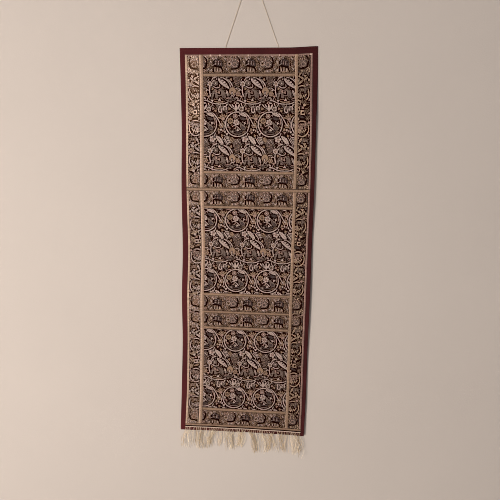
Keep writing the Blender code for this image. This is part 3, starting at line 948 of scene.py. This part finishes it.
def add_borders(row, s, drop, edges):
    """Lays the side borders' yarns over the two ends of a row, as painted sheen on the left and painted
    shade on the right.
    """
    on_left, on_right = s < STRIPES[0][0], s > STRIPES[-1][1]
    # Painted sheen on the left border's yarns, and painted shade on the right border's
    left_painted_sheen = LEFT_TOP_PAINTED_SHEEN if drop < TOP_SHEEN_DROP else LEFT_PAINTED_SHEEN
    row = np.select((on_left, on_right), (left_painted_sheen[edges[0]], RIGHT_PAINTED_SHADE[edges[1]]), row)
    row[(s < LEFT_BORDER[0]) | (s > RIGHT_BORDER[1])] = BARE
    row[(s > LEFT_BORDER[1]) & on_left | on_right & (s < RIGHT_BORDER[0])] = BARE
    return row


def add_stripes(row, s):
    """Lays the lengthwise stripes and the selvages over a row."""
    for left, right, _ in STRIPES:
        row[(s > left - STRIPE_GAP) & (s < right + STRIPE_GAP)] = BARE
    for left, right, yarn in STRIPES:
        row[(s > left) & (s < right)] = yarn
    row[s < LEFT_BORDER[0] - STRIPE_GAP] = SHEEN
    row[s > RIGHT_SELVAGE] = ROSE


def panel_rows():
    """Yields each weft row's drop in millimetres and the yarn of each of its chart cells."""
    field, band, side, side_band = field_chart(), band_chart(), side_chart(), side_band_chart()
    s = (np.arange(round(PANEL_MM / CELL[0])) + 0.5) * CELL[0]
    inward = [np.clip(u, 0, SIDE_REPEAT[0] - 0.1) for u in (s - LEFT_BORDER[0], RIGHT_BORDER[1] - s)]
    # The hem's brightest yarn is partly its own pale colour and partly a painted highlight along the roll
    plain = {"top": ROSE, "bare": BARE, "hem": BRIGHT}
    top, fields = PANEL_TOP * 1000 - 0.2, 0
    for end, kind in STRIPS:
        first_row, last_row = (math.ceil((edge - 0.4) / ROW_PITCH) for edge in (top, end))
        for drop in np.arange(first_row, last_row) * ROW_PITCH + 0.4:
            share = (drop - top) / (end - top)
            edges = [chart_row(side, SIDE_REPEAT, u, SIDE_ROW - drop) for u in inward]
            if kind == "band":
                row = chart_row(band, BAND_REPEAT, s - BAND_SHIFT, (1 - share) * BAND_REPEAT[1])
                edges = [chart_row(side_band, SIDE_BAND, u, (1 - share) * SIDE_BAND[1]) for u in inward]
            elif kind == "field":
                first, height = FIELD_ROWS[fields]
                y = LEAF_ROUNDEL[1] - (drop - first) * FIELD_REPEAT[1] / height
                row = chart_row(field, FIELD_REPEAT, s - FIELD_SHIFT, y)
            else:
                row = np.full(len(s), plain[kind] if kind in plain else line_yarn(share), np.int8)
            if kind in ("band", "field", "line"):
                row = add_borders(row, s, drop, edges)
            if kind in ("band", "field", "line", "top"):
                add_stripes(row, s)
            # Painted highlights: bright yarn at each glint
            for at, down, reach in PAINTED_GLINTS:
                row[np.hypot(s - at, drop - down) < reach] = BRIGHT
            yield drop, row
        top = end
        fields += kind == "field"


def woven_floats():
    """Every weft float on the face: its row's number and drop, its first and last chart cells, its yarn."""
    floats = []
    for number, (drop, row) in enumerate(panel_rows()):
        edges = np.concatenate(([0], np.flatnonzero(np.diff(row)) + 1, [len(row)]))
        for first, end in zip(edges, edges[1:]):
            yarn = row[first]
            if yarn == BARE:
                continue
            binding = (number * BINDING_STEP) % FLOAT_CELLS
            while end - first > 1.3 * FLOAT_CELLS:
                cut = first + FLOAT_CELLS - (first - binding) % FLOAT_CELLS
                if cut - first > 2:
                    floats.append((number, drop, first, cut, yarn))
                    first = cut
                else:
                    binding += 4
            floats.append((number, drop, first, end, yarn))
    return np.array(floats, float)


FIGURE_PIECES = 5
# Height of a float's ridge, how deep its edges sink into the ground, how far its ridge stops short,
# and how far its ends stray
RIDGE, SUNK, INSET, STRAY = 0.0003, 0.00008, 0.00045, 0.00018
# Painted highlights: the share of the metal floats coloured brighter as if they catch the light,
# and how much brighter they are
PAINTED_SPARK_SHARE, PAINTED_SPARK = 0.05, 1.35


def float_points(drop, start, end, rise):
    """Four corners and a ridge of two ends for each float, which runs between two shares of the width."""
    inset = np.minimum(INSET, 0.3 * (end - start) * PANEL_MM / 1000)
    points = np.empty((len(drop), 6, 3))
    corners = ((0, -1, 0), (1, -1, 0), (1, 1, 0), (0, 1, 0), (0, 0, 1), (1, 0, 1))
    for corner, (far, down, ridge) in enumerate(corners):
        at = drop + down * ROW_PITCH / 2000 * 0.98
        within = at.clip(0, PANEL_BOTTOM)
        left, right = read_section(PANEL_LEFT, within), read_section(PANEL_RIGHT, within)
        x = left + (end if far else start) * (right - left) + ridge * (-inset if far else inset)
        points[:, corner] = cloth_points(x, at, BROCADE_FACE + hem_bulge(at) + (rise if ridge else -SUNK))
    return points


def make_figure():
    """The raised weft floats that draw the figure, in blocks from the top down."""
    floats = woven_floats()
    rng = np.random.default_rng(11)
    palette = np.array([(*linear(*color), metal) for color, metal in YARNS])
    material = yarn_material("brocade_weft", 0.42, 0.0005, 0.25)
    last = floats[:, 0].max()
    pieces = []
    for block in range(FIGURE_PIECES):
        low, high = last * block / FIGURE_PIECES, last * (block + 1) / FIGURE_PIECES
        chosen = floats[(floats[:, 0] > low - (block == 0)) & (floats[:, 0] <= high)]
        count = len(chosen)
        jitter = STRAY * rng.standard_normal((2, count)).clip(-1, 1) / (PANEL_MM / 1000)
        start, end = (chosen[:, 2:4].T * CELL[0] / PANEL_MM + jitter).clip(0.0006, 0.9994)
        rise = RIDGE * (1 + 0.18 * rng.standard_normal(count).clip(-2, 2))
        points = float_points(chosen[:, 1] / 1000, start, end, rise).reshape(-1, 3)
        base = 6 * np.arange(count)[:, None]
        quads = np.concatenate((base + (0, 4, 5, 1), base + (4, 3, 2, 5)))
        ends = np.concatenate((base + (0, 3, 4), base + (5, 2, 1)))
        colors = palette[chosen[:, 4].astype(int)]
        value = 1 + 0.13 * rng.standard_normal((count, 1)).clip(-2, 2)
        # Painted highlights: a few metal floats are coloured brighter
        painted_spark = (rng.random((count, 1)) < PAINTED_SPARK_SHARE) & (colors[:, 3:] > 0.3)
        colors[:, :3] = (colors[:, :3] * value * np.where(painted_spark, PAINTED_SPARK, 1)).clip(0, 0.95)
        uvs = ((points - points.min(0)) / np.ptp(points, 0))[:, (0, 2)]
        pieces.append(make_piece(f"woven_figure_{block + 1}", points, [quads, ends], material,
                                 uvs, np.repeat(colors, 6, 0)))
    return pieces


def make_sheet(name, material, edges, drops, front, back, rim, columns):
    """A closed cloth sheet on a grid, with a rounded rim along its four sides."""
    ends = drops[0] + rim * np.array((0.0, 0.3, 1.0)), drops[-1] - rim * np.array((1.0, 0.3, 0.0))
    inner = drops[(drops > drops[0] + 2 * rim) & (drops < drops[-1] - 2 * rim)]
    drop = np.concatenate((ends[0], inner, ends[1]))[:, None]
    from_end = np.minimum(drop - drops[0], drops[-1] - drop) / rim
    # The share of the full thickness, which falls off in a quarter circle towards either end
    full = 0.06 + 0.94 * np.sqrt(1 - (1 - from_end.clip(0, 1)) ** 2)
    left, right = read_section(edges[0], drop), read_section(edges[1], drop)
    x = left + rim + np.linspace(0, 1, columns) * (right - left - 2 * rim)
    near, far = front(x, drop) + 0 * x, back(x, drop) + 0 * x
    middle, half = (near + far) / 2, (near - far) / 2 * full
    turn = np.radians((45, 90, 135))
    side_r = right - rim + rim * np.sin(turn), middle[:, -1:] + half[:, -1:] * np.cos(turn)
    side_l = left + rim - rim * np.sin(turn), middle[:, :1] - half[:, :1] * np.cos(turn)
    ring_x = np.concatenate((x, side_r[0], x[:, ::-1], side_l[0]), 1)
    ring_f = np.concatenate((middle + half, side_r[1], (middle - half)[:, ::-1], side_l[1]), 1)
    points = cloth_points(ring_x, drop, ring_f).reshape(-1, 3)
    index = np.arange(ring_x.size).reshape(ring_x.shape)
    after = np.roll(index, -1, 1)
    walls = np.stack((index[:-1], index[1:], after[1:], after[:-1]), -1).reshape(-1, 4)
    caps, corners = [], []
    for row, flip in ((index[0], 1), (index[-1], -1)):
        face, rear = row[:columns], row[columns + 3:2 * columns + 3][::-1]
        caps.append(np.stack((face[:-1], face[1:], rear[1:], rear[:-1]), -1)[:, ::flip])
        corners.append(row[columns - 1:columns + 4][::flip])
        corners.append(np.append(row[2 * columns + 2:], row[0])[::flip])
    return make_piece(name, points, [walls, np.concatenate(caps), np.array(corners)], material)


# The lining's edges are folded to the back this wide, each fold ending in a small step
FOLD_WIDTH, FOLD_STEP = 0.012, 0.0004


def lining_back(x, drop):
    left, right = read_section(CLOTH_LEFT, drop), read_section(CLOTH_RIGHT, drop)
    inside = np.minimum(np.minimum(x - left, right - x), np.minimum(drop, LINING_BOTTOM - drop))
    return -LINING_FACE + FOLD_STEP * smooth_step(FOLD_WIDTH - 0.0008, FOLD_WIDTH + 0.0008, inside)


def make_lining():
    """The lining: maroon cloth with its edges folded to the back and hemmed there."""
    drops = np.concatenate(([0.0], np.linspace(0.003, 1.123, 170), [LINING_BOTTOM]))
    piece = make_sheet("maroon_lining", lining_material(), (CLOTH_LEFT, CLOTH_RIGHT), drops,
                       lambda x, drop: LINING_FACE, lining_back, rim=0.0009, columns=60)
    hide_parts("backing")
    return piece


def make_ground():
    """The brocade's ground cloth, rolled into a hem at the bottom."""
    flat, hem = np.linspace(PANEL_TOP, HEM_TOP, 160), np.linspace(HEM_TOP, PANEL_BOTTOM, 13)
    piece = make_sheet("brocade_ground", ground_material(), (PANEL_LEFT, PANEL_RIGHT),
                       np.concatenate((flat, hem[1:])), lambda x, drop: BROCADE_FACE + hem_bulge(drop),
                       lambda x, drop: BROCADE_BACK, rim=0.0004, columns=50)
    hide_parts("brocade")
    return piece


def wavy(height, walked, period, phase):
    return height * np.sin(2 * np.pi * (walked / period + phase))


def make_fringe():
    """Cream warp ends below the hem: small bundles cross the lining's edge and part into loose waves."""
    rng = np.random.default_rng(21)
    paths, radii, colors = [], [], []
    t = np.linspace(0, 1, YARN_STEPS)
    across = smooth_step(-0.25, 0.85, t)
    across = (across - across[0]) / (across[-1] - across[0])
    loose = smooth_step(0.08, 0.4, t)
    for root_at, root_width, tip_at, tip_width, length in np.array(TUFTS) / 1000:
        count = round(root_width / YARN_GAP)
        bundles = max(1, round(root_width / BUNDLE_GAP))
        waves, leans = rng.random(bundles), rng.normal(0, 0.0034, bundles)
        for yarn in range(count):
            bundle = yarn * bundles // count
            share = (bundle + 0.5) / bundles - 0.5
            root = root_at + share * root_width + rng.uniform(-ROOT_STRAY, ROOT_STRAY)
            spread = 0.7 * share + 0.7 * rng.uniform(-0.5, 0.5)
            tip = tip_at + spread * tip_width + rng.normal(0, TIP_STRAY)
            long = length * (1 + 0.07 * rng.standard_normal()) - 0.012 * (rng.random() < 0.15)
            crimp = wavy(rng.uniform(*CRIMP), t * long, rng.uniform(*CRIMP_PERIOD), rng.random())
            wave = wavy(rng.uniform(*WAVE), t * long, rng.uniform(*WAVE_PERIOD), waves[bundle])
            sway = (leans[bundle] + rng.normal(0, 0.0026)) * np.sin(np.pi * t)
            x = root + across * (tip - root) + (crimp + wave + sway) * loose
            drop = PANEL_BOTTOM - 0.0015 + t * long
            lift = rng.uniform(-0.0009, 0.0013) + rng.normal(0, 0.0006) * np.sin(3 * t + rng.random() * 6)
            forward = 0.00195 + lift * loose + 0.0004 * np.sin(9 * t + 6 * rng.random()) * loose
            forward = np.maximum(forward, np.where(drop < LINING_BOTTOM + 0.001, 0.0014, -0.0005))
            paths.append(cloth_points(x, drop, forward))
            thick = rng.uniform(*YARN_R) * (0.45 + 0.55 * smooth_step(0.11, 0.28, t))
            slubs = 1 + 0.1 * np.sin(40 * t + 6 * rng.random())
            radii.append(thick * slubs * np.where(t > 0.96, 0.7, 1))
            tone = rng.choice(3, p=TONE_SHARES)
            color = linear(*FRINGE_YARNS[tone]) * rng.uniform(0.82, 1.12)
            colors.append((*color.clip(0, 0.95), 0.0))
    points, faces, uvs = tubes(np.array(paths), np.array(radii), YARN_SIDES)
    cotton = yarn_material("fringe_cotton", 0.85, 0.0009, 0.0)
    colors = np.repeat(np.array(colors), YARN_STEPS * YARN_SIDES, 0)
    piece = make_piece("fringe_yarns", points, faces, cotton, uvs, colors)
    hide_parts("fringe")
    return piece


# Step between the places of a stitch, its radius, and how far in from an edge each seam runs
STITCH, STITCH_R = 0.0013, 0.0002
EDGE_SEAM, FOLD_SEAM, PANEL_SEAM = 0.0028, 0.0112, 0.0022


def stitch_row(x, drop, forward):
    """Small raised stitches along a line of places, each bridging from one place to the next but one."""
    line = cloth_points(x, drop, forward)
    share = np.linspace(0, 1, 5)
    paths = []
    for first, last in zip(line[0::3], line[2::3]):
        path = first + share[:, None] * (last - first)
        path[:, 1] -= 0.00022 * np.sin(np.pi * share)
        paths.append(path)
    return paths


def make_stitches():
    """Sewing along the lining's folded edges and along the panel's selvages."""
    drops, panel = np.arange(0.004, 1.122, STITCH), np.arange(PANEL_TOP + 0.002, HEM_TOP, STITCH)
    on_lining, on_panel = LINING_FACE + 0.00005, BROCADE_FACE + 0.00022
    outer, inner = [], []
    for cloth_edge, panel_edge, inward in ((CLOTH_LEFT, PANEL_LEFT, 1), (CLOTH_RIGHT, PANEL_RIGHT, -1)):
        edge = read_section(cloth_edge, drops)
        outer += stitch_row(edge + EDGE_SEAM * inward, drops, on_lining)
        outer += stitch_row(edge + FOLD_SEAM * inward, drops, -on_lining)
        inner += stitch_row(read_section(panel_edge, panel) + PANEL_SEAM * inward, panel, on_panel)
    outer += stitch_row(np.arange(-0.190, 0.180, STITCH), 0.003, on_lining)
    inner += stitch_row(np.arange(-0.176, 0.166, STITCH), PANEL_TOP + PANEL_SEAM, on_panel)
    pieces = []
    for name, slot, paths, color in (
        ("lining_stitches", "backing", outer, (104, 46, 50)),
        ("panel_stitches", "brocade", inner, (96, 62, 48)),
    ):
        radii = np.broadcast_to(STITCH_R * np.array((0.5, 1, 1, 1, 0.5)), (len(paths), 5))
        points, faces, uvs = tubes(np.array(paths), radii, 4)
        colors = np.tile((*linear(*color), 0.0), (len(points), 1))
        thread = yarn_material(name + "_thread", 0.7, 0.0005, 0.1)
        pieces.append(make_piece(name, points, faces, thread, uvs, colors))
    return pieces


WALL_Y, FLOOR_Z = 0.0016, -1.75


def make_stage():
    planes = []
    for name, color, place, tilt in (
        ("wall", (190, 180, 173), (0, WALL_Y, 0.9), math.pi / 2),
        ("floor", (222, 214, 204), (0, 0, FLOOR_Z), 0),
    ):
        bpy.ops.mesh.primitive_plane_add(size=8, location=place, rotation=(tilt, 0, 0))
        plane = bpy.context.object
        plane.name = name
        plane.data.materials.append(plain_material(name + "_paint", color))
        planes.append(plane)
    wall, floor = planes
    see_through_behind(wall.data.materials[0].node_tree)
    wall.visible_shadow = wall.visible_diffuse = wall.visible_glossy = False


def see_through_behind(tree):
    """Lets a camera behind the wall look through it."""
    mix = tree.nodes.new("ShaderNodeMixShader")
    tree.links.new(tree.nodes.new("ShaderNodeNewGeometry").outputs["Backfacing"], mix.inputs[0])
    tree.links.new(tree.nodes["Principled BSDF"].outputs[0], mix.inputs[1])
    tree.links.new(tree.nodes.new("ShaderNodeBsdfTransparent").outputs[0], mix.inputs[2])
    tree.links.new(mix.outputs[0], tree.nodes["Material Output"].inputs["Surface"])


def add_light(name, place, target, power, color):
    data = bpy.data.lights.new(name, "AREA")
    data.shape, data.size, data.energy, data.color = "DISK", 1.6, power, color
    light = bpy.data.objects.new(name, data)
    light.location = place
    light.rotation_euler = (Vector(target) - Vector(place)).to_track_quat("-Z", "Y").to_euler()
    bpy.context.scene.collection.objects.link(light)


def light_scene():
    world = bpy.data.worlds.new("room")
    bpy.context.scene.world = world
    world.use_nodes = True
    room = world.node_tree.nodes["Background"].inputs
    room["Color"].default_value = (0.90, 0.94, 1.0, 1.0)
    room["Strength"].default_value = 0.24
    add_light("key", (-2.2, -3.4, -1.0), (-0.15, 0.0, -0.75), 172.0, (1.0, 0.93, 0.86))
    add_light("behind", (1.3, 3.2, 0.2), (0.0, 0.0, -0.8), 70.0, (1.0, 0.96, 0.92))
    bpy.context.scene.view_settings.view_transform = "Standard"


make_camera()
string = make_string()
lining = make_lining()
ground = make_ground()
figure = make_figure()
fringe = make_fringe()
stitches = make_stitches()
make_stage()
light_scene()
# The photograph is crisp: each pixel gathers light from little more than its own area
bpy.context.scene.cycles.filter_width = 0.9
